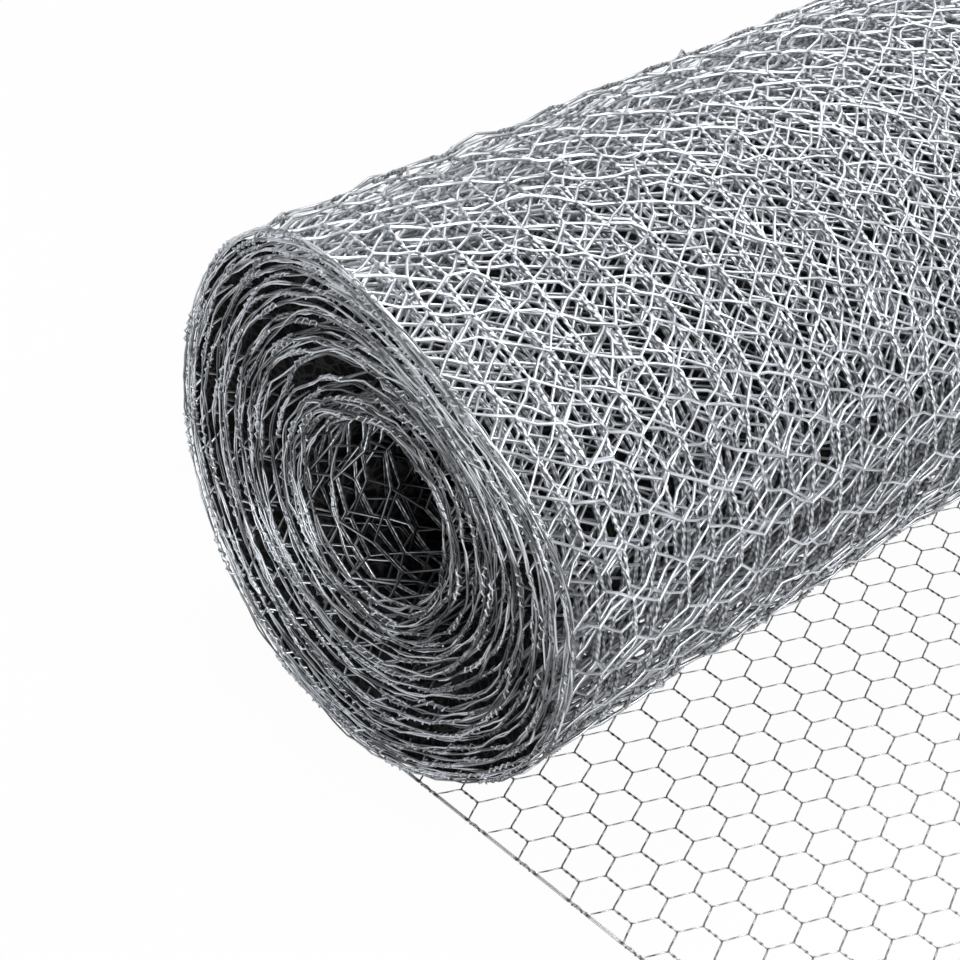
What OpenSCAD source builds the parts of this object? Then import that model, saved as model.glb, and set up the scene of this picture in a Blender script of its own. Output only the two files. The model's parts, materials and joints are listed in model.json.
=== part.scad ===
// Roll of hexagonal wire netting that lies on its side, with the first stretch
// of netting drawn out flat in front of it. Millimetres.
// X runs along the loose end, Y along the axis of the roll and Z up from the
// floor. The origin is on the floor, under the middle of the whole part.

/* [Netting] */
// Distance between neighbouring twists across the netting
mesh_w = 13; // [12:0.5:16]
// Distance from one row of twists to the next along the netting
row_pitch = 9; // [8:0.25:12]
// Length of each twist of two wires
twist_l = 6.3; // [4:0.1:7]
// Diameter of the wire
wire_d = 0.6; // [0.4:0.05:0.8]
// Number of cells from selvedge to selvedge
cells_across = 38; // [12:1:46]

/* [Roll] */
// Diameter over the outermost turn
roll_d = 148; // [140:1:200]
// Diameter of the hollow at the heart of the roll
bore_d = 48; // [40:1:60]
// Number of turns that show on each end
turns = 24; // [12:1:27]
// How deep the gaps between the turns reach in from each end
gap_depth = 9; // [4:0.5:20]

/* [Loose end] */
// Number of rows of twists from the roll's lowest line to the cut end
loose_rows = 20; // [12:4:28]
// Distance from the roll's lowest line to the start of the first row
first_row = 5; // [0:0.5:8]

/* [Hidden] */
$fn = 120;

zinc_bright = [0.76, 0.78, 0.80];
zinc_dull = [0.58, 0.60, 0.62];

// Clearance between the underside of the roll and the top of the loose end
seat_gap = 0.3;
// How far each cut runs past the face that it opens
overrun = 1;
// Straight pieces in one turn of the gap between the turns
turn_steps = 30;
// Direction from the axis of the roll to the line where the netting leaves it
leave_angle = 270;
// Number of strips that the loose end is made in
strips = 4;

// Netting: two wires side by side make a twist and a selvedge
sheet_t = 2 * wire_d;
net_w = cells_across * mesh_w;
stock_w = net_w + sheet_t;

// Slanted wires, from the end of one twist to the start of the next
slant_x = row_pitch - twist_l;
slant_l = norm([slant_x, mesh_w / 2]);
slant_edge_x = wire_d * slant_l / mesh_w;

// Open cell about its own middle: corners beside the twists, tips between the slanted wires
corner_x = twist_l / 2 + slant_x * sheet_t / mesh_w - slant_edge_x;
corner_y = mesh_w / 2 - wire_d;
tip_x = row_pitch - twist_l / 2 - slant_edge_x;

// Roll: each turn is one thickness of netting and the gap outside it
roll_r = roll_d / 2;
bore_r = bore_d / 2;
turn_pitch = (roll_r - bore_r - sheet_t) / turns;
turn_gap = turn_pitch - sheet_t;
gap_steps = (turns - 1) * turn_steps;
step_angle = 360 / turn_steps;

// Loose end, measured along X from the axis of the roll
loose_start = sqrt(pow(roll_r, 2) - pow(roll_r - sheet_t - seat_gap, 2));
loose_l = row_x(loose_rows - 1) + row_pitch / 2;
strip_rows = loose_rows / strips;
roll_x = (roll_r - loose_l) / 2;

// Middle of a row of twists, from the axis of the roll
function row_x(row) = first_row + row * row_pitch + twist_l / 2;

// Where strip number k begins and the one before it ends, halfway along a row of twists
function strip_x(k) = k == 0 ? loose_start : k == strips ? loose_l : row_x(k * strip_rows);

// Point on a spiral that grows by one turn pitch in each turn
function spiral_point(start_r, step) =
    let (r = start_r + turn_pitch * step / turn_steps,
         angle = leave_angle + (step - gap_steps) * step_angle)
    [r * cos(angle), r * sin(angle)];

// Long spiral gap between the turns, seen along the axis of the roll
module turn_gap_outline()
    polygon(concat(
        [for (step = [0 : gap_steps]) spiral_point(bore_r + sheet_t, step)],
        [for (step = [gap_steps : -1 : 0]) spiral_point(bore_r + turn_pitch, step)]));

// One six-sided opening of the netting
module cell_outline()
    polygon([[-tip_x, 0], [-corner_x, -corner_y], [corner_x, -corner_y],
             [tip_x, 0], [corner_x, corner_y], [-corner_x, corner_y]]);

// Flat netting between two places along the loose end. The rows alternate:
// an even row has a twist at each selvedge, an odd row has half a cell there.
module netting_outline(x_from, x_to) {
    difference() {
        translate([x_from, -net_w / 2]) square([x_to - x_from, net_w]);
        for (row = [0 : loose_rows])
            if (row_x(row) + tip_x > x_from && row_x(row) - tip_x < x_to)
                for (cell = [0 : cells_across - 1 + row % 2])
                    translate([row_x(row), (cell + (1 - row % 2) / 2) * mesh_w - net_w / 2])
                        cell_outline();
    }
    for (side = [-1, 1])
        translate([x_from, side * net_w / 2 - wire_d]) square([x_to - x_from, sheet_t]);
}

// The wound netting: one turned body with its bore, and the turns on its ends
module roll()
    color(zinc_bright)
        translate([roll_x, 0, roll_r]) rotate([90, 0, 0])
            difference() {
                rotate_extrude()
                    translate([bore_r, -stock_w / 2]) square([roll_r - bore_r, stock_w]);
                translate([0, 0, stock_w / 2 - gap_depth])
                    linear_extrude(height = gap_depth + overrun) turn_gap_outline();
                translate([0, 0, -stock_w / 2 - overrun])
                    linear_extrude(height = gap_depth + overrun) turn_gap_outline();
            }

// One strip of the loose end, counted outwards from the roll
module loose_strip(k)
    color(zinc_dull)
        translate([roll_x, 0, 0])
            linear_extrude(height = sheet_t) netting_outline(strip_x(k - 1), strip_x(k));

module loose_end_1() { loose_strip(1); }
module loose_end_2() { loose_strip(2); }
module loose_end_3() { loose_strip(3); }
module loose_end_4() { loose_strip(4); }

roll();
loose_end_1();
loose_end_2();
loose_end_3();
loose_end_4();
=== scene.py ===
"""Dress a roll of hexagonal wire netting, wire by wire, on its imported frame."""

from __future__ import annotations

import json
import logging
import math
from dataclasses import dataclass, field
from enum import Enum

import bpy
import numpy as np
from mathutils import Matrix, Vector

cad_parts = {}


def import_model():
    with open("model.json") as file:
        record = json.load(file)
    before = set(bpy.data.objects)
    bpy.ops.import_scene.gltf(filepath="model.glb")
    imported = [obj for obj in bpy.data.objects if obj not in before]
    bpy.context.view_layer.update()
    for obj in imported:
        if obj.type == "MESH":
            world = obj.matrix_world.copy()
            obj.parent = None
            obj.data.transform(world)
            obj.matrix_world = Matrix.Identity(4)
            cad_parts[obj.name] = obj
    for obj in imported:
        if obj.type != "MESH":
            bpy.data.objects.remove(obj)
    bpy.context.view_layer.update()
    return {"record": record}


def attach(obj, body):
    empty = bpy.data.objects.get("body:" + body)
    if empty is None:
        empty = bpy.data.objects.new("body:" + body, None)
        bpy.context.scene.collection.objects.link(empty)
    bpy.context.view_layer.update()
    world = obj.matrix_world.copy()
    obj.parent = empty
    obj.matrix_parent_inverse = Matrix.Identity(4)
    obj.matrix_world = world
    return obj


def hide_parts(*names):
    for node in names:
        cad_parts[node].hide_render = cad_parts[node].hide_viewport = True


LOG = logging.getLogger("wire_netting")
MM = 0.001
LOOSE_NODES = ("loose_end_1", "loose_end_2", "loose_end_3", "loose_end_4")


class Detail(Enum):
    """How finely rolled wire is drawn.

    Each choice gives the sides of a wire, the steps along a twist, the half turns in it, and the
    bends in each slanted stretch between twists.
    """

    FINE = (4, 7, 5, 1)
    MIDDLE = (3, 6, 4, 1)
    PLAIN = (3, 4, 3, 0)
    COARSE = (3, 2, 0, 0)
    DEEP = (3, 1, 0, 0)

    @property
    def sides(self) -> int:
        """Give the number of flat sides of a wire."""
        return self.value[0]

    @property
    def steps(self) -> int:
        """Give the number of straight steps along a twist."""
        return self.value[1]

    @property
    def half_turns(self) -> int:
        """Give the number of half turns that the two wires of a twist make."""
        return self.value[2]

    @property
    def bends(self) -> int:
        """Give the number of bends in each slanted stretch."""
        return self.value[3]


class Gleam(Enum):
    """How the light breaks on rolled wire.

    Each choice gives the lay of the slanted stretches, 0 where they carry a painted highlight and 0.5 where
    they lie in painted shade, and how much the brightness differs from cell to cell.
    """

    EVEN = (0.0, 0.25)
    BROKEN = (0.5, 0.9)

    @property
    def lay(self) -> float:
        """Give the lay of the slanted stretches."""
        return self.value[0]

    @property
    def spread(self) -> float:
        """Give the spread of the brightness about its mean."""
        return self.value[1]


class Edge(Enum):
    """The two selvedges of the netting."""

    NEAR = -1
    FAR = 1


@dataclass(frozen=True)
class Netting:
    """Sizes of a stretch of netting as it lies flat, in metres."""

    mesh_w: float
    row_pitch: float
    twist_l: float
    cells_across: int
    wire_d: float = 0.6 * MM
    first_row: float = 0.0

    @property
    def net_w(self) -> float:
        """Give the distance between the middles of the two selvedges."""
        return self.cells_across * self.mesh_w

    @property
    def halves(self) -> int:
        """Give the number of half cells between the two selvedges."""
        return 2 * self.cells_across

    def half_at(self, edge: Edge) -> int:
        """Give the number of half cells from the near selvedge to an edge."""
        return 0 if edge is Edge.NEAR else self.halves


@dataclass(frozen=True)
class Wave:
    """One slow error in the roundness of the turns.

    The wave has a number of lobes round the roll and drifts from each turn to the next.
    """

    height: float
    lobes: int
    drift: float
    phase: float

    def at(self, angle: np.ndarray, turn: np.ndarray) -> np.ndarray:
        """Give the wave's height.

        Args:
            angle: directions from the axis of the roll, in radians.
            turn: turns counted from the heart of the roll.

        Returns:
            Distances outwards, in metres.
        """
        return self.height * np.sin(self.lobes * angle + self.drift * turn + self.phase)


@dataclass(frozen=True)
class Bulge:
    """A place round the roll where all the turns swell out."""

    height: float
    middle: float
    spread: float

    def at(self, angle: np.ndarray) -> np.ndarray:
        """Give the bulge's height.

        Args:
            angle: directions from the axis of the roll, in radians.

        Returns:
            Distances outwards, in metres.
        """
        away = np.angle(np.exp(1j * (angle - self.middle)))
        return self.height * np.exp(-((away / self.spread) ** 2))


@dataclass
class Winding:
    """Carries flat netting onto the roll and the floor.

    Places on the netting are (along, across, height): along from the line where the netting leaves
    the roll, across from the middle of its width, and height outwards from the axis of the roll.
    """

    axis_x: float
    outer_r: float
    bore_r: float
    net_w: float
    wire_d: float
    turns: int = 33
    leave_angle: float = math.radians(270.0)
    waves: tuple[Wave, ...] = (
        Wave(0.50 * MM, 2, 0.45, 0.3),
        Wave(0.35 * MM, 3, -0.60, 1.9),
        Wave(0.25 * MM, 5, 0.70, 4.1),
        Wave(0.45 * MM, 1, 1.75, 0.9),
        Wave(0.30 * MM, 2, 2.60, 2.2),
    )
    edge_waves: tuple[Wave, ...] = (
        Wave(0.40 * MM, 7, 2.1, 0.8),
        Wave(0.30 * MM, 11, 3.3, 2.6),
        Wave(0.25 * MM, 17, 1.7, 5.0),
    )
    edge_reach: float = 16.0 * MM
    calm_turns: float = 6.0
    bulges: tuple[Bulge, ...] = (
        Bulge(1.7 * MM, math.radians(128.0), math.radians(30.0)),
        Bulge(2.2 * MM, math.radians(240.0), math.radians(22.0)),
        Bulge(-2.8 * MM, math.radians(66.0), math.radians(45.0)),
    )
    slides: tuple[Bulge, ...] = (
        Bulge(13.5 * MM, math.radians(68.0), math.radians(50.0)),
        Bulge(3.5 * MM, math.radians(350.0), math.radians(25.0)),
        Bulge(3.8 * MM, math.radians(276.0), math.radians(24.0)),
    )
    slide_turn: float = 9.0
    slide_fade: float = 0.08
    loose_turn_rise: float = 0.9 * MM
    loose_turn_from: float = 0.32
    tight: float = 12.0 * MM
    tight_from: float = 13.0
    slack_turn: float = 10.5
    slack: Bulge = Bulge(4.6 * MM, math.radians(113.0), math.radians(55.0))
    slack_loss: float = 0.9
    heart_oval: float = 1.5 * MM
    heart_packing: float = 1.8 * MM
    skews: tuple[Wave, ...] = (Wave(1.0 * MM, 0, 0.83, 0.4), Wave(0.7 * MM, 0, 2.37, 1.1))
    skew_calm_turns: float = 5.0
    far_skew: float = 0.3
    recess: float = 24.0 * MM
    recess_turn: float = 1.2
    recess_power: float = 1.3
    start_r: float = field(init=False)
    turn_pitch: float = field(init=False)
    length: float = field(init=False)

    def __post_init__(self) -> None:
        """Work out the spiral from the bore and the outermost turn."""
        self.start_r = self.bore_r + self.wire_d
        end_r = self.outer_r - self.wire_d
        self.turn_pitch = (end_r - self.start_r) / self.turns
        self.length = math.pi * self.turns * (self.start_r + end_r)

    def turn_at(self, along: np.ndarray) -> np.ndarray:
        """Count the turns from the heart of the roll to places along the netting.

        Args:
            along: places along the netting.

        Returns:
            Turns, with fractions.
        """
        wound = self.length + np.minimum(along, 0.0)
        root = np.sqrt(self.start_r**2 + self.turn_pitch * np.maximum(wound, 0.0) / math.pi)
        return (root - self.start_r) / self.turn_pitch

    def along_at(self, turn: np.ndarray) -> np.ndarray:
        """Give the place along the netting at a number of turns from the heart of the roll."""
        return math.pi * turn * (2.0 * self.start_r + self.turn_pitch * turn) - self.length

    def angle_at(self, turn: np.ndarray) -> np.ndarray:
        """Give the direction from the axis of the roll at a number of turns from its heart."""
        return self.leave_angle + 2.0 * math.pi * (turn - self.turns)

    def to_edge(self, across: np.ndarray) -> np.ndarray:
        """Give the distance from places across the netting to the nearer selvedge."""
        return np.maximum(self.net_w / 2.0 - np.abs(across), 0.0)

    def swell(self, turn: np.ndarray, angle: np.ndarray, across: np.ndarray) -> np.ndarray:
        """Tell how far the turns stray from a true spiral.

        Args:
            turn: turns from the heart of the roll.
            angle: directions from the axis of the roll.
            across: places across the netting.

        Returns:
            Distances outwards, in metres.
        """
        calm = np.clip((self.turns - turn) / self.calm_turns, 0.0, 1.0)
        stray = sum(wave.at(angle, turn) for wave in self.waves)
        frayed = sum(wave.at(angle, turn) for wave in self.edge_waves)
        stray = stray + frayed * np.exp(-self.to_edge(across) / self.edge_reach)
        share = np.clip(1.0 - (self.turns - turn) / self.loose_turn_from, 0.0, 1.0)
        loose = self.loose_turn_rise * np.sin(math.pi * share) ** 2
        outer = np.clip((turn - self.tight_from) / (self.turns - self.tight_from), 0.0, 1.0)
        drawn = self.tight * outer**2 * (1.0 - outer)
        inward = np.clip(1.0 - turn / self.slack_turn, 0.0, 1.0)
        slack = self.slack.at(angle) * (1.0 - self.slack_loss * inward)
        slack = np.where(turn < self.slack_turn, slack, 0.0)
        oval = -self.heart_oval * inward * np.cos(2.0 * angle)
        drawn -= self.heart_packing * np.sin(math.pi * inward)
        swollen = sum(bulge.at(angle) for bulge in self.bulges) * (turn / self.turns) ** 2
        return stray * calm + swollen + loose + drawn + oval - slack

    def shift(self, turn: np.ndarray, angle: np.ndarray, across: np.ndarray) -> np.ndarray:
        """Tell how far each turn has slid along the axis of the roll.

        Args:
            turn: turns from the heart of the roll.
            angle: directions from the axis of the roll.
            across: places across the netting.

        Returns:
            Distances along the axis, in metres.
        """
        calm = np.clip((self.turns - turn) / self.skew_calm_turns, 0.0, 1.0)
        near = np.clip(0.5 - across / self.net_w, 0.0, 1.0)
        skew = sum(wave.at(angle, turn) for wave in self.skews)
        skew = (self.far_skew + (1.0 - self.far_skew) * near) * skew
        outer = np.clip((turn - self.slide_turn) / (self.turns - self.slide_turn), 0.0, 1.0)
        slid = near * outer * sum(slide.at(angle) for slide in self.slides)
        sunk = self.recess * near * np.clip(1.0 - turn / self.recess_turn, 0.0, 1.0) ** self.recess_power
        return calm * skew + sunk - np.clip((self.turns - turn) / self.slide_fade, 0.0, 1.0) * slid

    def place(self, sheet: np.ndarray) -> np.ndarray:
        """Carry places on the netting into the part's frame.

        Args:
            sheet: (along, across, height) in the last axis.

        Returns:
            Points (x, y, z) in the last axis.
        """
        along, across, height = np.moveaxis(sheet, -1, 0)
        turn = self.turn_at(along)
        angle = self.angle_at(turn)
        r = self.start_r + self.turn_pitch * turn + self.swell(turn, angle, across) + height
        x = self.axis_x + r * np.cos(angle) + np.maximum(along, 0.0)
        z = self.outer_r + r * np.sin(angle)
        return np.stack([x, across + self.shift(turn, angle, across), z], axis=-1)

    def outward(self, sheet: np.ndarray) -> np.ndarray:
        """Give the direction away from the axis of the roll at places on the netting."""
        angle = self.angle_at(self.turn_at(sheet[..., 0]))
        return np.stack([np.cos(angle), np.zeros_like(angle), np.sin(angle)], axis=-1)


@dataclass
class Lattice:
    """Places of the twists of a stretch of netting, with the small errors of real netting.

    The rows are counted from the line where the netting leaves the roll. The first of them has the
    number `first`, and `starts` tells where each row begins along the netting.
    """

    net: Netting
    first: int
    starts: np.ndarray
    slip: float
    seed: int
    lift_share: float = 0.6
    slips: np.ndarray = field(init=False)

    def __post_init__(self) -> None:
        """Draw the errors of every twist, with none across at the selvedges."""
        shape = (len(self.starts), self.net.halves + 1, 5)
        self.slips = self.slip * np.random.default_rng(self.seed).normal(0.0, 1.0, shape)
        self.slips[:, (0, -1), 1:] = 0.0

    def ends(self, row: np.ndarray, half: np.ndarray) -> tuple[np.ndarray, np.ndarray]:
        """Find where twists begin and end.

        Args:
            row: rows of twists, counted from the line where the netting leaves the roll.
            half: places across the netting, in half cells from the near selvedge.

        Returns:
            Places on the netting of the two ends of each twist.
        """
        row, half = np.broadcast_arrays(row, half)
        slip = self.slips[row - self.first, half]
        along = self.starts[row - self.first] + slip[..., 0]
        across = half * self.net.mesh_w / 2.0 - self.net.net_w / 2.0
        lift = self.lift_share * slip[..., 3:]
        start = np.stack([along, across + slip[..., 1], lift[..., 0]], axis=-1)
        end = np.stack([along + self.net.twist_l, across + slip[..., 2], lift[..., 1]], axis=-1)
        return start, end


@dataclass
class WireMesh:
    """Gathers many wires and makes one mesh of them."""

    winding: Winding
    points: list[np.ndarray] = field(default_factory=list)
    tones: list[np.ndarray] = field(default_factory=list)
    lays: list[np.ndarray] = field(default_factory=list)
    quads: list[np.ndarray] = field(default_factory=list)
    caps: list[np.ndarray] = field(default_factory=list)
    count: int = 0

    def add(
        self, sheet: np.ndarray, tone: np.ndarray, radius: float, sides: int, lay: np.ndarray | float = 0.0
    ) -> None:
        """Sweep wires along paths on the netting.

        Args:
            sheet: places on the netting, one path for each wire: wire, step, place.
            tone: brightness of each step of each wire.
            radius: half the thickness of the wire.
            sides: flat sides of the wire.
            lay: half turns that each wire has made about its neighbours up to each step.
        """
        wires, steps = sheet.shape[:2]
        path = self.winding.place(sheet)
        path[..., 2] = np.maximum(path[..., 2], radius)
        forward = np.gradient(path, axis=1)
        forward /= np.linalg.norm(forward, axis=-1, keepdims=True)
        out = self.winding.outward(sheet)
        out = out - forward * np.sum(out * forward, axis=-1, keepdims=True)
        out /= np.linalg.norm(out, axis=-1, keepdims=True)
        aside = np.cross(forward, out)
        turn = 2.0 * math.pi * np.arange(sides) / sides
        round_r = radius * math.sqrt(2.0 * math.pi / (sides * math.sin(2.0 * math.pi / sides)))
        ring = np.cos(turn)[:, None] * out[:, :, None, :] + np.sin(turn)[:, None] * aside[:, :, None, :]
        self.points.append((path[:, :, None, :] + round_r * ring).reshape(-1, 3))
        for kept, value in ((self.tones, tone), (self.lays, lay)):
            kept.append(np.repeat(np.broadcast_to(value, (wires, steps)).reshape(-1), sides))
        index = self.count + np.arange(wires * steps * sides).reshape(wires, steps, sides)
        after = np.roll(index, -1, axis=2)
        quad = np.stack([index[:, :-1], after[:, :-1], after[:, 1:], index[:, 1:]], axis=-1)
        self.quads.append(quad.reshape(-1, 4))
        self.caps.append(index[:, 0, ::-1].reshape(-1, sides))
        self.caps.append(index[:, -1].reshape(-1, sides))
        self.count += index.size

    def triangles(self) -> int:
        """Count the triangles gathered so far.

        Returns:
            The number of triangles.
        """
        sides = sum(2 * len(quad) for quad in self.quads)
        return sides + sum(cap.size - 2 * len(cap) for cap in self.caps)

    def make(self, name: str) -> bpy.types.Object:
        """Make one object of all the wires.

        Args:
            name: name of the new piece.

        Returns:
            The new object, at the origin.
        """
        faces = self.quads + self.caps
        corners = np.concatenate([face.reshape(-1) for face in faces])
        sizes = np.concatenate([np.full(len(face), face.shape[1]) for face in faces])
        starts = np.concatenate([[0], np.cumsum(sizes)[:-1]])
        mesh = bpy.data.meshes.new(name)
        mesh.vertices.add(self.count)
        mesh.vertices.foreach_set("co", np.concatenate(self.points).astype(np.float32).reshape(-1))
        mesh.loops.add(len(corners))
        mesh.loops.foreach_set("vertex_index", corners.astype(np.int32))
        mesh.polygons.add(len(sizes))
        mesh.polygons.foreach_set("loop_start", starts.astype(np.int32))
        flat = np.zeros(len(sizes), bool)
        flat[sum(len(quad) for quad in self.quads):] = True
        mesh.attributes.new("sharp_face", "BOOLEAN", "FACE").data.foreach_set("value", flat)
        for label, values in (("tone", self.tones), ("lay", self.lays)):
            layer = mesh.attributes.new(label, "FLOAT", "POINT")
            layer.data.foreach_set("value", np.concatenate(values).astype(np.float32))
        mesh.update(calc_edges=True)
        piece = bpy.data.objects.new(name, mesh)
        bpy.context.scene.collection.objects.link(piece)
        LOG.info("%s: %d triangles", name, self.triangles())
        return piece


@dataclass(frozen=True)
class WireFinish:
    """A zinc coat on steel wire, from dark to bright by the tone of each stretch, which holds painted light
    and shade and some random variation.
    """

    name: str
    # dull and bright: the colours at tone 0 and 1, from the deepest painted shade to full painted light.
    dull: tuple[float, float, float]
    bright: tuple[float, float, float]
    rough_low: float
    rough_high: float
    spangle: float = 260.0
    grain: float = 1500.0
    patchiness: float = 0.3
    patch_detail: float = 2.0
    bump: float = 0.2
    bump_depth: float = 0.1 * MM
    # lay_depth: how dark the painted shade between the painted glints along each twist goes.
    lay_depth: float = 0.58

    def make(self) -> bpy.types.Material:
        """Build the material: painted light and shade by the tone of each wire, painted glints and shade
        along each twist by its lay, spangled patches, and a fine uneven skin.

        Returns:
            The new material.
        """
        material = bpy.data.materials.new(self.name)
        material.use_nodes = True
        nodes, links = material.node_tree.nodes, material.node_tree.links
        shader = nodes["Principled BSDF"]
        shader.inputs["Metallic"].default_value = 1.0
        place = nodes.new("ShaderNodeTexCoord")
        tone = nodes.new("ShaderNodeAttribute")
        tone.attribute_name = "tone"
        patches = nodes.new("ShaderNodeTexNoise")
        patches.inputs["Scale"].default_value = self.spangle
        patches.inputs["Detail"].default_value = self.patch_detail
        links.new(place.outputs["Object"], patches.inputs["Vector"])
        spread = nodes.new("ShaderNodeMapRange")
        spread.inputs["To Min"].default_value = 1.0 - self.patchiness
        spread.inputs["To Max"].default_value = 1.0 + self.patchiness
        links.new(patches.outputs["Fac"], spread.inputs["Value"])
        mixed = nodes.new("ShaderNodeMath")
        mixed.operation = "MULTIPLY"
        links.new(tone.outputs["Fac"], mixed.inputs[0])
        links.new(spread.outputs["Result"], mixed.inputs[1])
        # Painted glints and painted shade: the brightness rises and falls with the half turns of each wire.
        lay = nodes.new("ShaderNodeAttribute")
        lay.attribute_name = "lay"
        angle = nodes.new("ShaderNodeMath")
        angle.operation = "MULTIPLY"
        angle.inputs[1].default_value = 2.0 * math.pi
        links.new(lay.outputs["Fac"], angle.inputs[0])
        crest = nodes.new("ShaderNodeMath")
        crest.operation = "COSINE"
        links.new(angle.outputs[0], crest.inputs[0])
        shade = nodes.new("ShaderNodeMapRange")
        shade.inputs["From Min"].default_value = -1.0
        shade.inputs["To Min"].default_value = 1.0 - self.lay_depth
        links.new(crest.outputs[0], shade.inputs["Value"])
        shaded = nodes.new("ShaderNodeMath")
        shaded.operation = "MULTIPLY"
        links.new(mixed.outputs[0], shaded.inputs[0])
        links.new(shade.outputs["Result"], shaded.inputs[1])
        colour = nodes.new("ShaderNodeValToRGB")
        colour.color_ramp.elements[0].color = (*self.dull, 1.0)
        colour.color_ramp.elements[1].color = (*self.bright, 1.0)
        links.new(shaded.outputs[0], colour.inputs["Fac"])
        links.new(colour.outputs["Color"], shader.inputs["Base Color"])
        rough = nodes.new("ShaderNodeMapRange")
        rough.inputs["To Min"].default_value = self.rough_low
        rough.inputs["To Max"].default_value = self.rough_high
        links.new(patches.outputs["Fac"], rough.inputs["Value"])
        links.new(rough.outputs["Result"], shader.inputs["Roughness"])
        skin = nodes.new("ShaderNodeTexNoise")
        skin.inputs["Scale"].default_value = self.grain
        links.new(place.outputs["Object"], skin.inputs["Vector"])
        bump = nodes.new("ShaderNodeBump")
        bump.inputs["Strength"].default_value = self.bump
        bump.inputs["Distance"].default_value = self.bump_depth
        links.new(skin.outputs["Fac"], bump.inputs["Height"])
        links.new(bump.outputs["Normal"], shader.inputs["Normal"])
        return material


@dataclass(frozen=True)
class ShadowFinish:
    """The dark depth of the roll, where the wires lie too deep to tell apart."""

    name: str
    dark: tuple[float, float, float]
    glint: tuple[float, float, float]
    wires: tuple[float, ...] = (110.0, 150.0, 190.0)
    wire_to: float = 0.015
    dark_from: float = 0.045
    rough: float = 0.8
    specular: float = 0.1

    def make(self) -> bpy.types.Material:
        """Build the material: near black, with faint crossing wires.

        Returns:
            The new material.
        """
        material = bpy.data.materials.new(self.name)
        material.use_nodes = True
        nodes, links = material.node_tree.nodes, material.node_tree.links
        shader = nodes["Principled BSDF"]
        shader.inputs["Roughness"].default_value = self.rough
        shader.inputs["Specular IOR Level"].default_value = self.specular
        place = nodes.new("ShaderNodeTexCoord")
        nearest = None
        for scale in self.wires:
            cells = nodes.new("ShaderNodeTexVoronoi")
            cells.feature = "DISTANCE_TO_EDGE"
            cells.inputs["Scale"].default_value = scale
            links.new(place.outputs["Object"], cells.inputs["Vector"])
            if nearest is None:
                nearest = cells.outputs["Distance"]
                continue
            least = nodes.new("ShaderNodeMath")
            least.operation = "MINIMUM"
            links.new(nearest, least.inputs[0])
            links.new(cells.outputs["Distance"], least.inputs[1])
            nearest = least.outputs[0]
        colour = nodes.new("ShaderNodeValToRGB")
        colour.color_ramp.elements[0].position = self.wire_to
        colour.color_ramp.elements[0].color = (*self.glint, 1.0)
        colour.color_ramp.elements[1].position = self.dark_from
        colour.color_ramp.elements[1].color = (*self.dark, 1.0)
        links.new(nearest, colour.inputs["Fac"])
        links.new(colour.outputs["Color"], shader.inputs["Base Color"])
        return material


BRIGHT_ZINC = WireFinish("bright_zinc", (0.03, 0.03, 0.032), (0.84, 0.87, 0.91), 0.40, 0.56)
DULL_ZINC = WireFinish(
    "dull_zinc", (0.03, 0.03, 0.03), (0.93, 0.94, 0.95), 0.45, 0.58, patchiness=0.1, bump=0.03
)
DEEP_SHADOW = ShadowFinish("deep_shadow", (0.0025, 0.0025, 0.003), (0.025, 0.025, 0.027))


def deselect_all() -> None:
    """Leave nothing selected."""
    bpy.ops.object.select_all(action="DESELECT")


def dress(piece: bpy.types.Object, material: bpy.types.Material, nodes: tuple[str, ...]) -> None:
    """Give a piece its finish, hang it on the root body, and hide the solids that it stands for.

    Args:
        piece: the finished piece.
        material: its finish.
        nodes: the solids that the piece stands for.
    """
    piece.data.materials.append(material)
    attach(piece, "root")
    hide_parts(*nodes)


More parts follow.
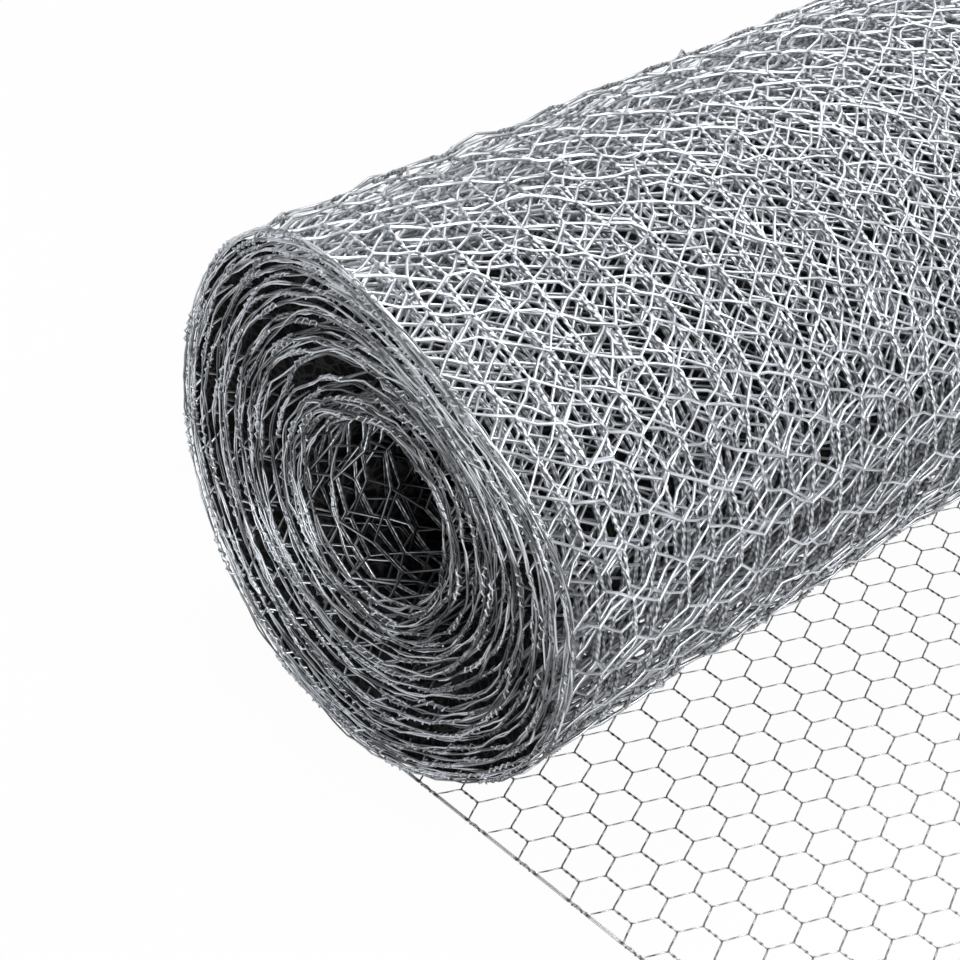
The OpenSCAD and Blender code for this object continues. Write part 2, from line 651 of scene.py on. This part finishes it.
@dataclass(frozen=True)
class RollTones:
    """Painted light and shade on the zinc of the roll: bright outside, and painted shade inside and at the
    ends.
    """

    # deep, dark_turn and outer_gain to skin_power: painted shade that darkens the turns the deeper they lie,
    # and takes some light off the outermost turn.
    deep: float = 0.34
    dark_turn: float = 13.0
    outer_gain: float = 0.84
    outer_power: float = 0.8
    skin_loss: float = 0.35
    skin_power: float = 8.0
    # heart_gain to heart_depth: painted light on the turns of the hollow near its ends, fading into painted
    # shade further in.
    heart_gain: float = 1.3
    heart_loss: float = 0.16
    heart_fade: float = 2.0
    heart_depth: float = 70.0 * MM
    # low_from to top_turns: painted shade on the deeper turns near the floor, and painted light on the
    # outermost turns there.
    low_from: float = 0.35
    low_loss: float = 0.45
    low_top_gain: float = 0.70
    top_turns: float = 2.5
    # end to end_reach: painted shade at the ends of the roll, lighter on the outer turns.
    end: float = 0.66
    end_gain: float = 0.42
    end_power: float = 1.2
    end_reach: float = 10.0 * MM
    # dim_angle and dim_loss: painted shade on the ends about that direction; lit_angle and lit_gain: painted
    # light on them about that one.
    dim_angle: float = math.radians(357.0)
    dim_loss: float = 0.5
    lit_angle: float = math.radians(255.0)
    lit_gain: float = 0.36

    def at(self, winding: Winding, heart_turns: float, sheet: np.ndarray) -> np.ndarray:
        """Give the painted light and shade at places on the netting.

        Args:
            winding: how the netting is wound.
            heart_turns: number of turns that line the hollow.
            sheet: (along, across, height) in the last axis.

        Returns:
            Tones, 0 for deep painted shade and 1 for full painted light.
        """
        turn = winding.turn_at(sheet[..., 0])
        angle = winding.angle_at(turn)
        to_edge = winding.to_edge(sheet[..., 1])
        # Painted shade: the deeper the turn, the darker; in the hollow, darker away from the ends.
        outer = np.clip((turn - self.dark_turn) / (winding.turns - self.dark_turn), 0.0, 1.0)
        heart = np.clip((heart_turns - turn) / self.heart_fade, 0.0, 1.0)
        inside = self.deep + heart * (self.heart_gain * np.exp(-to_edge / self.heart_depth) - self.heart_loss)
        inside += self.outer_gain * outer**self.outer_power - self.skin_loss * outer**self.skin_power
        # Painted shade on the deeper turns near the floor, painted light on the outermost turns there.
        low = np.clip(self.low_from - np.sin(angle), 0.0, 1.0)
        top = np.clip(1.0 - (winding.turns - turn) / self.top_turns, 0.0, 1.0)
        inside *= 1.0 + low * (self.low_top_gain * top - self.low_loss)
        # Painted shade and painted light on the ends by their direction from the axis.
        dim = np.clip(np.cos(angle - self.dim_angle), 0.0, 1.0)
        lit = np.clip(np.cos(angle - self.lit_angle), 0.0, 1.0) ** 2
        at_end = self.end + self.end_gain * outer**self.end_power
        at_end *= 1.0 - self.dim_loss * dim + self.lit_gain * lit
        near = np.exp(-((to_edge / self.end_reach) ** 2))
        return inside * (1.0 - near) + at_end * near


@dataclass
class RolledNetting:
    """The wound part of the netting."""

    winding: Winding
    net: Netting = Netting(
        mesh_w=19.0 * MM, row_pitch=16.7 * MM, twist_l=11.0 * MM, cells_across=26, wire_d=0.62 * MM
    )
    layers: tuple[tuple[Detail, int], ...] = (
        (Detail.FINE, 1),
        (Detail.MIDDLE, 3),
        (Detail.PLAIN, 4),
        (Detail.COARSE, 4),
        (Detail.DEEP, 6),
    )
    slip: float = 0.8 * MM
    bend_slip: float = 0.65 * MM
    nest_step: float = 0.764
    nest_slip: float = 0.04
    lay_turns: tuple[int, int] = (4, 6)
    lay_slip: float = 0.16
    seed: int = 7
    heart_turns: float = 7.0
    end_cells: int = 1
    tones: RollTones = RollTones()
    edge_d: float = 0.38 * MM
    edge_sides: int = 3
    edge_slip: float = 0.12 * MM
    pair_reach: float = 0.26 * MM
    pair_turn: float = 29.0 * MM
    pair_step: float = 3.2 * MM
    pair_sway: float = 1.2
    pair_sway_l: float = 17.0 * MM
    pair_gleam: tuple[float, float] = (0.25, 3.2)
    gleam_steps: int = 4
    wrap_loops: int = 4
    wrap_reach: float = 0.62 * MM
    wrap_spread: tuple[float, float] = (0.8, 1.25)
    wrap_gleam: tuple[float, float] = (0.4, 3.0)
    core_turn: float = 14.7
    flange_turn: float = 32.0
    far_flange_turn: float = 28.0
    flange_angle: float = math.radians(229.0)
    flange_spread: float = 1.05
    bore_turn: float = 7.2
    bore_share: float = 0.5
    flange_t: float = 0.8 * MM
    core_inset: float = 9.0 * MM
    rim_inset: float = 1.7 * MM
    core_sides: int = 144
    turn_rows: np.ndarray = field(init=False)
    lattice: Lattice = field(init=False)
    rng: np.random.Generator = field(init=False)

    def __post_init__(self) -> None:
        """Lay out the twists."""
        self.rng = np.random.default_rng(self.seed + 1)
        self.turn_rows = self.nest()
        first = math.ceil(self.turn_rows[0])
        turn = np.interp(np.arange(first, 1), self.turn_rows, np.arange(self.winding.turns + 1))
        self.lattice = Lattice(self.net, first, self.winding.along_at(turn), self.slip, self.seed)

    def nest(self) -> np.ndarray:
        """Count the rows so that each turn lies on the one below with its cells a small step on.

        Returns:
            The row, counted back from the outside, at every whole turn from the heart of the roll.
        """
        girths = np.diff(self.winding.along_at(np.arange(self.winding.turns + 1)))
        steps = self.rng.normal(self.nest_step, self.nest_slip, len(girths))
        rows = 2.0 * np.round((girths / self.net.row_pitch - steps) / 2.0) + steps
        return np.concatenate([[0.0], np.cumsum(rows)]) - np.sum(rows)

    def build(self) -> None:
        """Build and dress every piece of the roll."""
        zinc = BRIGHT_ZINC.make()
        for piece in (*self.outer_turns(), self.inner_turns(), *self.ends()):
            dress(piece, zinc, ("roll",))
        dress(self.core(), DEEP_SHADOW.make(), ("roll",))

    def rows_between(self, inner: float, outer: float) -> range:
        """List the rows of twists between two counts of turns from the heart of the roll.

        Args:
            inner: where the stretch begins, in turns.
            outer: where it ends, in turns.

        Returns:
            The rows, counted back from the outside.
        """
        turns = np.arange(self.winding.turns + 1)
        first, last = np.round(np.interp((inner, outer), turns, self.turn_rows)).astype(int)
        return range(max(first, self.lattice.first), last + 1)

    def tone(self, sheet: np.ndarray) -> np.ndarray:
        """Give the painted light and shade on the zinc at places on the netting."""
        return self.tones.at(self.winding, self.heart_turns, sheet)

    def zigzag(
        self, mesh: WireMesh, rows: range, cells: np.ndarray, lean: int, detail: Detail, gleam: Gleam
    ) -> None:
        """Draw wires that swing between two neighbouring columns of twists.

        Args:
            mesh: where the wires go.
            rows: rows of twists that the wires pass.
            cells: even twists that the wires swing about, counted from the near selvedge.
            lean: 1 for wires that swing to the far selvedge, and -1 to the near one.
            detail: how finely they are drawn.
            gleam: how the light breaks on them.
        """
        row = np.array(rows)
        odd = row % 2
        half = 2 * cells[:, None] + lean * odd[None, :]
        start, end = self.lattice.ends(row[None, :], half)
        share = np.linspace(0.0, 1.0, detail.steps + 1)
        sheet = start[:, :, None, :] + (end - start)[:, :, None, :] * share[:, None]
        first = odd if lean > 0 else 1 - odd
        phase = math.pi * (first[:, None] + detail.half_turns * share[None, :])
        reach = self.net.wire_d / 2.0
        sheet[..., 1] += reach * np.cos(phase)
        sheet[..., 2] += reach * np.sin(phase)
        # The lay sets where each wire carries painted glints and painted shade along its twists.
        laid = self.rng.integers(*self.lay_turns, (len(cells), 1, 1), endpoint=True)
        lay = laid * (np.arange(len(row))[:, None] + share[None, :])
        lay = lay + gleam.lay + self.rng.uniform(-self.lay_slip, self.lay_slip, laid.shape)
        if detail.bends:
            lay = np.concatenate([lay, lay[:, :, -1:]], axis=2)
            middle = (sheet[:, :-1, -1] + sheet[:, 1:, 0]) / 2.0
            middle += self.rng.normal(0.0, self.bend_slip, middle.shape)
            last = sheet[:, -1:, -1] * 1.5 - sheet[:, -1:, -2] * 0.5
            sheet = np.concatenate([sheet, np.concatenate([middle, last], axis=1)[:, :, None]], axis=2)
        tone = self.rng.uniform(1.0 - gleam.spread, 1.0 + gleam.spread, (len(cells), len(row), 1))
        tone = (tone * self.tone(sheet)).reshape(len(cells), -1)
        lay = lay.reshape(len(cells), -1)
        mesh.add(sheet.reshape(len(cells), -1, 3), tone, reach, detail.sides, lay)

    def weave(
        self, mesh: WireMesh, rows: range, cells: range, detail: Detail, gleam: Gleam = Gleam.EVEN
    ) -> None:
        """Draw all the wires of a stretch of netting.

        Args:
            mesh: where the wires go.
            rows: rows of twists.
            cells: cells across the netting, counted from the near selvedge.
            detail: how finely they are drawn.
            gleam: how the light breaks on them.
        """
        number = np.array(cells)
        self.zigzag(mesh, rows, number, 1, detail, gleam)
        self.zigzag(mesh, rows, number + 1, -1, detail, gleam)

    def outer_turns(self) -> list[bpy.types.Object]:
        """Build the outermost turns, each from selvedge to selvedge.

        Returns:
            One piece for each turn.
        """
        pieces = []
        turn = self.winding.turns
        for detail, count in self.layers:
            for _ in range(count):
                mesh = WireMesh(self.winding)
                self.weave(mesh, self.rows_between(turn - 1, turn), range(self.net.cells_across), detail)
                pieces.append(mesh.make(f"turn_{turn}"))
                turn -= 1
        return pieces

    def inner_turns(self) -> bpy.types.Object:
        """Build the innermost turns, which line the hollow.

        Returns:
            The new piece.
        """
        mesh = WireMesh(self.winding)
        rows = self.rows_between(0.0, self.heart_turns)
        # The broken gleam puts the slanted stretches of the hollow in painted shade, with a wide spread of
        # brightness from cell to cell.
        self.weave(mesh, rows, range(self.net.cells_across), Detail.DEEP, Gleam.BROKEN)
        return mesh.make("heart_turns")

    def ends(self) -> list[bpy.types.Object]:
        """Build the selvedges of all turns, and the first cells of the turns hidden between.

        Returns:
            One piece for each end.
        """
        cells = self.net.cells_across
        first = {Edge.NEAR: range(self.end_cells), Edge.FAR: range(cells - self.end_cells, cells)}
        outer_turn = self.winding.turns - sum(count for _, count in self.layers)
        pieces = []
        for edge, some in first.items():
            mesh = WireMesh(self.winding)
            self.selvedge(mesh, edge)
            self.wraps(mesh, edge)
            self.weave(mesh, self.rows_between(self.heart_turns, outer_turn), some, Detail.DEEP)
            pieces.append(mesh.make(f"{edge.name.lower()}_end_turns"))
        return pieces

    def selvedge(self, mesh: WireMesh, edge: Edge) -> None:
        """Draw the pair of wires along one selvedge.

        Args:
            mesh: where the wires go.
            edge: which selvedge.
        """
        along = np.arange(-self.winding.length, 0.0, self.pair_step)
        across = np.full_like(along, edge.value * self.net.net_w / 2.0)
        middle = np.stack([along, across, np.zeros_like(along)], axis=-1)
        lay = 2.0 * math.pi * along / self.pair_turn + self.pair_sway * np.sin(along / self.pair_sway_l)
        least, gain = self.pair_gleam
        for side in (0.0, math.pi):
            phase = lay + side
            wire = middle.copy()
            wire[:, 1] += self.pair_reach * np.cos(phase)
            wire[:, 2] += self.pair_reach * np.sin(phase)
            wire[:, 1:] += self.rng.normal(0.0, self.edge_slip, (len(along), 2))
            gleam = least + gain * self.rng.random(len(along) // self.gleam_steps + 1) ** 3
            gleam = np.repeat(gleam, self.gleam_steps)[: len(along)]
            mesh.add(wire[None], gleam * self.tone(wire), self.edge_d / 2.0, self.edge_sides)

    def wraps(self, mesh: WireMesh, edge: Edge) -> None:
        """Draw the short coils that bind the netting to one selvedge, one at every second row.

        Args:
            mesh: where the wires go.
            edge: which selvedge.
        """
        row = np.arange(self.lattice.first + self.lattice.first % 2, 0, 2)
        start, end = self.lattice.ends(row, np.full(len(row), self.net.half_at(edge)))
        share = np.linspace(0.0, 1.0, 4 * self.wrap_loops + 1)
        sheet = start[:, None, :] + (end - start)[:, None, :] * share[:, None]
        phase = 2.0 * math.pi * (self.wrap_loops * share + self.rng.random((len(row), 1)))
        reach = self.wrap_reach * self.rng.uniform(*self.wrap_spread, (len(row), 1))
        sheet[..., 1] += reach * np.cos(phase)
        sheet[..., 2] += reach * np.sin(phase)
        sheet += self.rng.normal(0.0, self.edge_slip, sheet.shape)
        least, gain = self.wrap_gleam
        gleam = (least + gain * self.rng.random((len(row), 1)) ** 2) * self.tone(sheet)
        mesh.add(sheet, gleam, self.edge_d / 2.0, self.edge_sides)

    def core(self) -> bpy.types.Object:
        """Build painted shade behind the wires: a near-black spool that stands for the deep turns, with a
        bore bridged through it.

        Returns:
            The new piece.
        """
        winding = self.winding
        half_l = self.net.net_w / 2.0 - self.core_inset
        deselect_all()
        # Painted shade: a near-black solid in place of the deep turns, which lie in shadow.
        bpy.ops.mesh.primitive_cylinder_add(
            vertices=self.core_sides, radius=1.0, depth=2.0 * half_l, rotation=(math.pi / 2.0, 0.0, 0.0)
        )
        core = bpy.context.object
        core.name = core.data.name = "deep_turns_painted_shade"
        bpy.ops.object.transform_apply(location=True, rotation=True, scale=True)
        bpy.ops.object.mode_set(mode="EDIT")
        bpy.ops.mesh.select_mode(type="FACE")
        bpy.ops.mesh.select_all(action="DESELECT")
        bpy.ops.object.mode_set(mode="OBJECT")
        for face in core.data.polygons:
            face.select = abs(face.normal.y) > 0.9
        bpy.ops.object.mode_set(mode="EDIT")
        bpy.ops.mesh.inset(thickness=1.0 - self.bore_share)
        bpy.ops.mesh.bridge_edge_loops()
        flange_y = half_l - self.flange_t
        for cut in (-flange_y, flange_y, -flange_y + self.flange_t, flange_y - self.flange_t):
            bpy.ops.mesh.select_all(action="SELECT")
            bpy.ops.mesh.bisect(plane_co=(0.0, cut, 0.0), plane_no=(0.0, 1.0, 0.0))
        bpy.ops.object.mode_set(mode="OBJECT")
        for vertex in core.data.vertices:
            angle = np.array(math.atan2(vertex.co.z, vertex.co.x))
            turn = self.core_turn
            if math.hypot(vertex.co.x, vertex.co.z) < (1.0 + self.bore_share) / 2.0:
                turn = self.bore_turn
            elif abs(vertex.co.y) > flange_y - self.flange_t / 2.0:
                low, reach = 1.0, self.far_flange_turn
                if vertex.co.y < 0.0:
                    low = float(np.clip(self.flange_spread + np.cos(angle - self.flange_angle), 0.0, 1.0))
                    reach = self.flange_turn
                turn += low * (reach - self.core_turn)
                vertex.co.y += math.copysign(low * (self.core_inset - self.rim_inset), vertex.co.y)
            vertex.co.y += float(winding.shift(np.array(turn), angle, np.array(vertex.co.y)))
            stray = winding.swell(np.array(turn), angle, np.array(0.0))
            r = float(winding.start_r + winding.turn_pitch * turn + stray)
            vertex.co.x = winding.axis_x + r * math.cos(angle)
            vertex.co.z = winding.outer_r + r * math.sin(angle)
        deselect_all()
        LOG.info("deep_turns_painted_shade: %d faces", len(core.data.polygons))
        return core


@dataclass
class LooseEnd:
    """The stretch of netting that lies flat in front of the roll."""

    winding: Winding
    net: Netting = Netting(
        mesh_w=13.0 * MM, row_pitch=9.0 * MM, twist_l=6.3 * MM, cells_across=38, first_row=5.0 * MM
    )
    rows: int = 20
    slip: float = 0.06 * MM
    seed: int = 5
    sides: int = 4
    steps: int = 6
    half_turns: int = 3
    wire_r: float = 0.20 * MM
    wrap_loops: int = 2
    bend_share: float = 0.3
    bend_lift: float = 0.02
    # Painted light on slants that cross to the far selvedge, painted shade on those that cross to the near
    # one.
    lit_slant_tone: float = 0.54
    shaded_slant_tone: float = 0.36
    tone_spread: float = 0.15
    # Painted shade and painted glints that alternate along each twist and wrap.
    twist_shade_glint: tuple[float, float] = (0.08, 0.80)
    selvedge_tone: float = 0.8
    selvedge_r: float = 0.24 * MM
    gap_shares: tuple[float, float, float] = (0.12, 0.5, 0.88)
    cut_share: float = 0.4
    wrap_reach: float = 0.42 * MM
    lattice: Lattice = field(init=False)
    rng: np.random.Generator = field(init=False)

    def __post_init__(self) -> None:
        """Lay out the twists."""
        starts = self.net.first_row + np.arange(-1, self.rows + 2) * self.net.row_pitch
        self.lattice = Lattice(self.net, -1, starts, self.slip, self.seed)
        self.rng = np.random.default_rng(self.seed + 1)

    def build(self) -> None:
        """Build and dress the flat netting."""
        mesh = WireMesh(self.winding)
        for way in (-1, 1):
            self.strands(mesh, way)
        for edge in Edge:
            self.selvedge(mesh, edge)
            self.wraps(mesh, edge)
        dress(mesh.make("loose_netting"), DULL_ZINC.make(), LOOSE_NODES)

    def slant(self, corner: np.ndarray, middle: np.ndarray) -> np.ndarray:
        """Bend a slanted wire softly away from its twist.

        Args:
            corner: the end of each twist.
            middle: the middle of each slanted stretch.

        Returns:
            Two places for each wire: one near the twist, and the middle.
        """
        near = corner + self.bend_share * (middle - corner)
        near[..., 0] += self.bend_lift * (middle - corner)[..., 0]
        return np.stack([near, middle], axis=1)

    def strands(self, mesh: WireMesh, way: int) -> None:
        """Draw one of the two wires of every twist, out to the middle of the slanted stretches.

        Args:
            mesh: where the wires go.
            way: 1 for wires that cross to the far selvedge, and -1 to the near one.
        """
        row, half = np.meshgrid(np.arange(self.rows), np.arange(1, self.net.halves), indexing="ij")
        real = (row + half) % 2 == 0
        row, half = row[real], half[real]
        start, end = self.lattice.ends(row, half)
        before = self.lattice.ends(row - 1, half - way)[1]
        after = self.lattice.ends(row + 1, half + way)[0]
        share = np.linspace(0.0, 1.0, self.steps + 1)
        twist = start[:, None, :] + (end - start)[:, None, :] * share[:, None]
        phase = math.pi * (self.half_turns * share + (1.0 if way > 0 else 0.0))
        twist[..., 1] += self.wire_r * np.cos(phase)
        twist[..., 2] += self.wire_r * np.sin(phase)
        leading = self.slant(start, (before + start) / 2.0)[:, ::-1]
        trailing = self.slant(end, (end + after) / 2.0)
        sheet = np.concatenate([leading, twist, trailing], axis=1)
        # Painted light or painted shade by the way the slant runs.
        slant_tone = self.lit_slant_tone if way > 0 else self.shaded_slant_tone
        tone = np.full(sheet.shape[1], slant_tone)
        # Painted shade and painted glints alternate along the twist.
        tone[2:-2] = np.resize(self.twist_shade_glint, sheet.shape[1] - 4)
        tone = tone * self.rng.uniform(1.0 - self.tone_spread, 1.0 + self.tone_spread, (len(row), 1))
        mesh.add(sheet, tone, self.wire_r, self.sides)

    def selvedge(self, mesh: WireMesh, edge: Edge) -> None:
        """Draw the pair of wires along one selvedge, which twist about each other at every second row.

        Args:
            mesh: where the wires go.
            edge: which selvedge.
        """
        row = np.arange(0, self.rows, 2)
        start, end = self.lattice.ends(row, np.full(len(row), self.net.half_at(edge)))
        share = np.linspace(0.0, 1.0, self.steps + 1)
        twist = start[:, None, :] + (end - start)[:, None, :] * share[:, None]
        follow = start + np.array([2.0 * self.net.row_pitch, 0.0, 0.0])
        gap = np.stack([end + (follow - end) * part for part in self.gap_shares], axis=1)
        sheet = np.concatenate([twist, gap], axis=1).reshape(1, -1, 3)
        plain = len(self.gap_shares)
        phase = np.concatenate([2.0 * math.pi * share, np.zeros(plain)])
        # Painted shade and painted glints alternate along the selvedge twist.
        tone = np.resize(self.twist_shade_glint, self.steps + 1)
        tone = np.concatenate([tone, np.full(plain, self.selvedge_tone)])
        for side in (0.0, math.pi):
            wire = sheet.copy()
            wire[0, :, 1] += self.selvedge_r * np.cos(np.tile(phase, len(row)) + side)
            wire[0, :, 2] += self.selvedge_r * np.sin(np.tile(phase, len(row)) + side)
            keep = wire[0, :, 0] < self.net.first_row + (self.rows - self.cut_share) * self.net.row_pitch
            mesh.add(wire[:, keep], np.tile(tone, len(row))[None, keep], self.selvedge_r, self.sides)

    def wraps(self, mesh: WireMesh, edge: Edge) -> None:
        """Draw the wires of the netting that turn round one selvedge and go back.

        Args:
            mesh: where the wires go.
            edge: which selvedge.
        """
        row = np.arange(0, self.rows, 2)
        half = self.net.half_at(edge)
        beside = np.full(len(row), half - edge.value)
        start, end = self.lattice.ends(row, np.full(len(row), half))
        before = (self.lattice.ends(row - 1, beside)[1] + start) / 2.0
        after = (self.lattice.ends(row + 1, beside)[0] + end) / 2.0
        share = np.linspace(0.0, 1.0, 6 * self.wrap_loops + 1)
        coil = start[:, None, :] + (end - start)[:, None, :] * share[:, None]
        phase = 2.0 * math.pi * self.wrap_loops * share
        coil[..., 1] -= edge.value * self.wrap_reach * np.cos(phase)
        coil[..., 2] += self.wrap_reach * np.sin(phase)
        sheet = np.concatenate([before[:, None], coil, after[:, None]], axis=1)
        # Painted shade and painted glints alternate along the wrap.
        mesh.add(sheet, np.resize(self.twist_shade_glint, sheet.shape[1]), self.wire_r, self.sides)


@dataclass(frozen=True)
class Lamp:
    """A square lamp that faces the part, with its width in metres and its power in watts."""

    name: str
    place: tuple[float, float, float]
    size: float
    power: float

    def hang(self) -> None:
        """Hang the lamp in its place."""
        data = bpy.data.lights.new(self.name, "AREA")
        data.shape, data.size, data.energy = "SQUARE", self.size, self.power
        lamp = bpy.data.objects.new(self.name, data)
        lamp.location = self.place
        lamp.rotation_euler = (-Vector(self.place)).to_track_quat("-Z", "Y").to_euler()
        bpy.context.scene.collection.objects.link(lamp)


@dataclass
class Studio:
    """A white floor, soft lamps and the camera."""

    floor_half: float = 6.0
    camera_place: tuple[float, float, float] = (0.2750, -0.5702, 0.4318)
    camera_aim: tuple[float, float, float] = (-0.0481, -0.2173, 0.0740)
    camera_lean: float = math.radians(-5.59)
    lens: float = 89.63
    sensor: float = 36.0
    soft_light: float = 0.54
    floor_white: float = 0.97
    floor_mirrored: float = 0.3
    floor_grey: float = 0.5
    floor_rough: float = 0.9
    lamps: tuple[Lamp, ...] = (
        Lamp("key", (0.9, -0.1, 1.3), 0.5, 12.0),
        Lamp("front", (1.0, -0.9, 0.6), 0.3, 10.5),
        Lamp("top", (-0.4, -0.2, 1.6), 0.6, 14.0),
        Lamp("back", (-0.5, 1.2, 1.2), 0.6, 8.0),
    )

    def build(self) -> None:
        """Build everything around the part."""
        self.camera()
        self.floor()
        self.world()
        for lamp in self.lamps:
            lamp.hang()
        bpy.context.scene.view_settings.view_transform = "Standard"

    def camera(self) -> None:
        """Set the camera where the photograph was taken from."""
        place, aim = Vector(self.camera_place), Vector(self.camera_aim)
        back = (place - aim).normalized()
        right = Vector((0.0, 0.0, 1.0)).cross(back).normalized()
        up = back.cross(right)
        up, right = (
            up * math.cos(self.camera_lean) + right * math.sin(self.camera_lean),
            right * math.cos(self.camera_lean) - up * math.sin(self.camera_lean),
        )
        data = bpy.data.cameras.new("camera")
        data.lens, data.sensor_width, data.sensor_fit = self.lens, self.sensor, "HORIZONTAL"
        camera = bpy.data.objects.new("camera", data)
        camera.matrix_world = Matrix.Translation(place) @ Matrix((right, up, back)).transposed().to_4x4()
        bpy.context.scene.collection.objects.link(camera)
        bpy.context.scene.camera = camera

    def floor(self) -> None:
        """Lay a pale floor that looks white and keeps a soft shadow."""
        deselect_all()
        bpy.ops.mesh.primitive_plane_add(size=2.0 * self.floor_half, location=(0.0, 0.0, 0.0))
        floor = bpy.context.object
        floor.name = "floor"
        material = bpy.data.materials.new("white_floor")
        material.use_nodes = True
        nodes, links = material.node_tree.nodes, material.node_tree.links
        shader = nodes["Principled BSDF"]
        shader.inputs["Base Color"].default_value = (self.floor_grey, self.floor_grey, self.floor_grey, 1.0)
        shader.inputs["Roughness"].default_value = self.floor_rough
        shader.inputs["Specular IOR Level"].default_value = 0.0
        glow = nodes.new("ShaderNodeEmission")
        path = nodes.new("ShaderNodeLightPath")
        seen = self.weighed(path.outputs["Is Camera Ray"], self.floor_white, nodes, links)
        for name in ("Is Glossy Ray", "Is Transmission Ray"):
            either = nodes.new("ShaderNodeMath")
            either.operation = "MAXIMUM"
            links.new(seen, either.inputs[0])
            links.new(self.weighed(path.outputs[name], self.floor_mirrored, nodes, links), either.inputs[1])
            seen = either.outputs[0]
        mixed = nodes.new("ShaderNodeMixShader")
        links.new(seen, mixed.inputs["Fac"])
        links.new(shader.outputs[0], mixed.inputs[1])
        links.new(glow.outputs[0], mixed.inputs[2])
        links.new(mixed.outputs[0], nodes["Material Output"].inputs["Surface"])
        floor.data.materials.append(material)
        deselect_all()

    def weighed(
        self, ray: bpy.types.NodeSocket, share: float, nodes: bpy.types.Nodes, links: bpy.types.NodeLinks
    ) -> bpy.types.NodeSocket:
        """Weigh one kind of ray.

        Args:
            ray: 1 for rays of that kind, and 0 for others.
            share: how white the floor is to them, whatever its shadows.
            nodes: the floor's nodes.
            links: the floor's links.

        Returns:
            The weighed kind of ray.
        """
        weight = nodes.new("ShaderNodeMath")
        weight.operation = "MULTIPLY"
        weight.inputs[1].default_value = share
        links.new(ray, weight.inputs[0])
        return weight.outputs[0]

    def world(self) -> None:
        """Surround the part with soft white light."""
        world = bpy.data.worlds.new("studio")
        bpy.context.scene.world = world
        world.use_nodes = True
        soft = world.node_tree.nodes["Background"]
        soft.inputs["Color"].default_value = (1.0, 1.0, 1.0, 1.0)
        soft.inputs["Strength"].default_value = self.soft_light


def main() -> None:
    """Build the part and its studio."""
    logging.basicConfig(level=logging.INFO, format="%(message)s")
    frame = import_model()
    bore = next(mount for mount in frame["record"]["mounts"] if mount["name"] == "core_bore")
    loose_net = LooseEnd.net
    winding = Winding(
        axis_x=bore["pos_m"][0],
        outer_r=bore["pos_m"][2],
        bore_r=bore["dims"]["r_mm"] * MM,
        net_w=loose_net.net_w,
        wire_d=loose_net.wire_d,
    )
    Studio().build()
    LooseEnd(winding).build()
    RolledNetting(winding).build()


if __name__ == "__main__":
    main()
